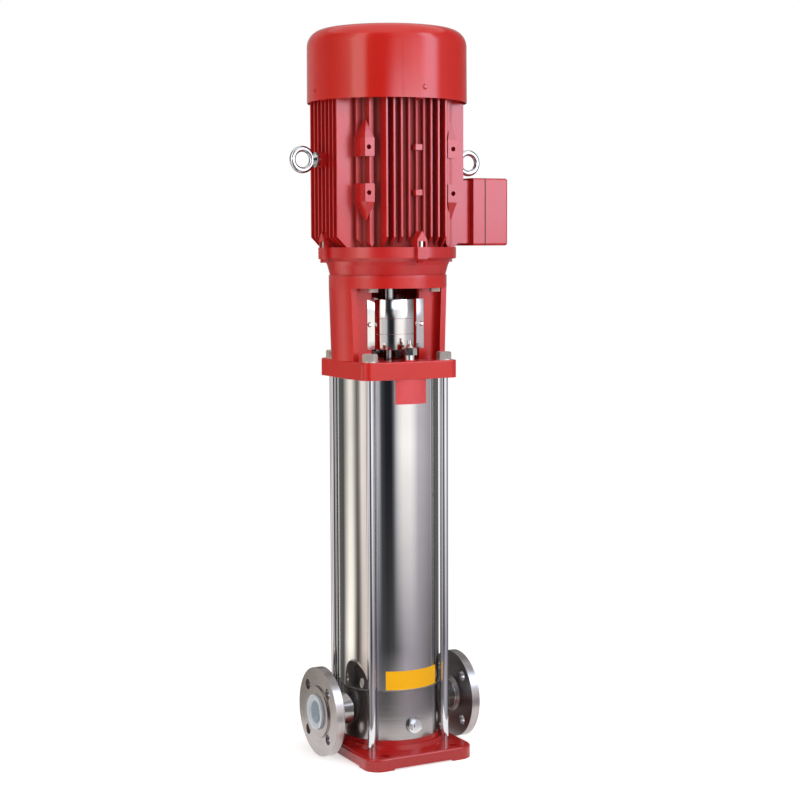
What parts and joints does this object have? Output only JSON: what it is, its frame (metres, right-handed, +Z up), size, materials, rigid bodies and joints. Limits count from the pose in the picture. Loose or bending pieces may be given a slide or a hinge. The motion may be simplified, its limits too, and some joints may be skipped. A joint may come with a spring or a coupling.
{
  "type": "vertical multistage pump",
  "caption": "Upright multistage pump: polished sleeve between tie rods, flanged ports in line on a cast foot, finned electric motor on a windowed stool.",
  "frame": {"origin": "centre of the four foundation bolts, on the floor plane under the foot", "axes": "+Z up along the shaft; +X from the inlet port to the outlet port, terminal box on +X; -Y towards the vent and drain plugs"},
  "size_m": [0.3822, 0.2734, 1.2238],
  "materials": {
    "cast_red": "gloss enamel on sand-cast iron",
    "housing_red": "gloss enamel on die-cast aluminium",
    "sheet_red": "gloss enamel on drawn sheet",
    "polished_steel": "mirror-polished stainless",
    "machined_steel": "turned stainless",
    "bolt_steel": "zinc plated",
    "bright_rod": "bright drawn stainless",
    "seal_white": "matte",
    "seal_dark": "lapped carbon",
    "gasket_rubber": "matte",
    "cap_plastic": "satin, milky",
    "core_iron": "laminated",
    "winding_copper": "varnished",
    "bearing_steel": "ground",
    "dark_plastic": "matte"
  },
  "bodies": {
    "frame": {"base_plate": "cast_red", "base_chamber": "polished_steel", "port_necks": "polished_steel", "suction_cup": "machined_steel", "inlet_flange": "machined_steel", "outlet_flange": "machined_steel", "drain_plug": "bolt_steel", "sleeve_gaskets": "gasket_rubber", "outer_sleeve": "polished_steel", "tie_rods": "bright_rod", "tie_rod_washers": "bolt_steel", "tie_rod_nuts": "bolt_steel", "motor_stool": "cast_red", "head_cover": "machined_steel", "suction_plate": "machined_steel", "stage_chambers": "machined_steel", "top_bearing": "machined_steel", "neck_rings": "seal_white", "seal_seat": "seal_dark", "front_guard": "polished_steel", "rear_guard": "polished_steel", "guard_screws": "bolt_steel", "vent_plug": "bright_rod", "marker_plate": "sheet_red", "drive_end_shield": "cast_red", "flange_bolts": "bolt_steel", "shield_bolts": "bolt_steel", "motor_housing": "housing_red", "eyebolts": "bolt_steel", "stator_core": "core_iron", "stator_winding": "winding_copper", "de_bearing_outer": "bearing_steel", "nde_bearing_outer": "bearing_steel", "nde_shield": "housing_red", "fan_cowl": "sheet_red", "cowl_screws": "bolt_steel", "terminal_box": "housing_red", "terminal_gasket": "gasket_rubber", "terminal_cover": "housing_red", "cover_screws": "bolt_steel", "terminal_block": "dark_plastic", "entry_plugs": "dark_plastic"},
    "rotor": {"pump_shaft": "machined_steel", "impellers": "machined_steel", "spacer_sleeves": "machined_steel", "bearing_sleeve": "machined_steel", "seal_head": "seal_dark", "coupling_halves": "machined_steel", "coupling_screws": "bolt_steel", "coupling_pin": "bolt_steel", "motor_shaft": "machined_steel", "rotor_core": "core_iron", "de_bearing_inner": "bearing_steel", "nde_bearing_inner": "bearing_steel", "fan": "dark_plastic"},
    "de_balls": {"de_ball_set": "bearing_steel"},
    "nde_balls": {"nde_ball_set": "bearing_steel"},
    "inlet_plug": {"inlet_cap": "cap_plastic"},
    "outlet_plug": {"outlet_cap": "cap_plastic"},
    "vent_needle": {"vent_screw": "bright_rod"}
  },
  "joints": [
    {"name": "shaft_spin", "type": "hinge", "parent": "frame", "child": "rotor", "pos_m": [0, 0, 0.7], "axis": [0, 0, 1], "continuous": true},
    {"name": "de_cage_spin", "type": "hinge", "parent": "frame", "child": "de_balls", "pos_m": [0, 0, 0.8455], "axis": [0, 0, 1], "continuous": true},
    {"name": "nde_cage_spin", "type": "hinge", "parent": "frame", "child": "nde_balls", "pos_m": [0, 0, 1.1215], "axis": [0, 0, 1], "continuous": true},
    {"name": "inlet_plug_pull", "type": "slide", "parent": "frame", "child": "inlet_plug", "axis": [-1, 0, 0], "range_m": [0, 0.03]},
    {"name": "outlet_plug_pull", "type": "slide", "parent": "frame", "child": "outlet_plug", "axis": [1, 0, 0], "range_m": [0, 0.03]},
    {"name": "vent_turn", "type": "hinge", "parent": "frame", "child": "vent_needle", "pos_m": [0, -0.077, 0.7], "axis": [0, 0, 1], "range_deg": [0, 540]}
  ],
  "couplings": [
    {"joint": "de_cage_spin", "follows": "shaft_spin", "ratio": 0.3987},
    {"joint": "nde_cage_spin", "follows": "shaft_spin", "ratio": 0.3987}
  ]
}
